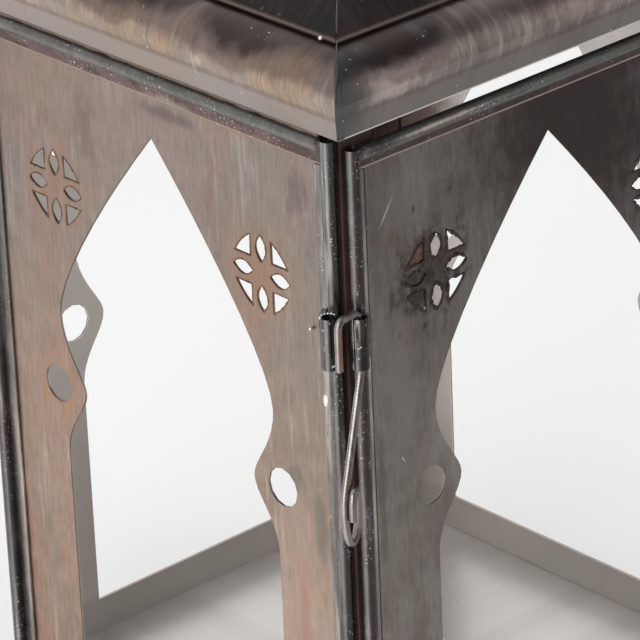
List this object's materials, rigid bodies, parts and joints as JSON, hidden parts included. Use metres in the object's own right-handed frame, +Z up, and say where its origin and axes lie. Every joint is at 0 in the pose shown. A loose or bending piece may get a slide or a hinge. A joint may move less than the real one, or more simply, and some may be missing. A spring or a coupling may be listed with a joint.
{
  "type": "moroccan candle lantern",
  "caption": "Square sheet-metal candle lantern with pierced keyhole arches, a bullnose cornice, a hipped roof, a hinged door with a wire hook latch and a carrying ring.",
  "frame": {"origin": "centre of the plinth's underside, on the surface that the lantern stands on", "axes": "+Z up, +Y away from the door, +X towards the door's hinge side"},
  "size_m": [0.1942, 0.1942, 0.3722],
  "materials": {
    "wall_metal": "aged, satin, with copper-coloured stains",
    "door_metal": "aged, satin, darker",
    "rolled_edge": "aged, satin, with bright solder specks",
    "moulding_metal": "aged, satin, with dark heat stains",
    "roof_metal": "dark, heat-blackened",
    "frame_metal": "dark, rusty",
    "floor_metal": "pale, satin",
    "wire": "worn, with rust on one side",
    "latch_metal": "worn, with solder",
    "candle_metal": "aged, satin"
  },
  "bodies": {
    "lantern_body": {"floor_plate": "floor_metal", "plinth_front": "moulding_metal", "plinth_right": "moulding_metal", "plinth_back": "moulding_metal", "plinth_left": "moulding_metal", "corner_post_front_left": "frame_metal", "corner_post_front_right": "frame_metal", "corner_post_back_right": "frame_metal", "corner_post_back_left": "frame_metal", "right_panel": "wall_metal", "back_panel": "wall_metal", "left_panel": "wall_metal", "right_panel_front_stile": "rolled_edge", "right_panel_back_stile": "rolled_edge", "back_panel_right_stile": "rolled_edge", "back_panel_left_stile": "rolled_edge", "left_panel_back_stile": "rolled_edge", "left_panel_front_stile": "rolled_edge", "right_panel_top_rail": "wall_metal", "back_panel_top_rail": "wall_metal", "left_panel_top_rail": "wall_metal", "top_frame": "frame_metal", "cornice_front": "moulding_metal", "cornice_right": "moulding_metal", "cornice_back": "moulding_metal", "cornice_left": "moulding_metal", "roof_front": "roof_metal", "roof_right": "roof_metal", "roof_back": "roof_metal", "roof_left": "roof_metal", "finial": "roof_metal", "finial_eye": "roof_metal", "hinge_rod": "wire", "hinge_lug_upper": "frame_metal", "hinge_lug_lower": "frame_metal", "latch_keeper": "latch_metal", "drip_pan": "candle_metal", "candle_cup": "candle_metal"},
    "door": {"door_panel": "door_metal", "door_latch_stile": "rolled_edge", "door_hinge_stile": "rolled_edge", "door_top_rail": "rolled_edge", "door_bottom_rail": "rolled_edge", "latch_knuckle": "latch_metal"},
    "hook": {"latch_hook": "wire"},
    "ring": {"carry_ring": "wire"}
  },
  "joints": [
    {"name": "door_hinge", "type": "hinge", "parent": "lantern_body", "child": "door", "pos_m": [0.07675, -0.0814, 0.1422], "axis": [0, 0, 1], "range_deg": [0, 170]},
    {"name": "hook_swing", "type": "hinge", "parent": "door", "child": "hook", "pos_m": [-0.07995, -0.08518, 0.197], "axis": [0, 0, 1], "range_deg": [-20, 150]},
    {"name": "ring_swing", "type": "hinge", "parent": "lantern_body", "child": "ring", "pos_m": [0, 0, 0.36628], "axis": [-1, 0, 0], "range_deg": [0, 290]}
  ]
}
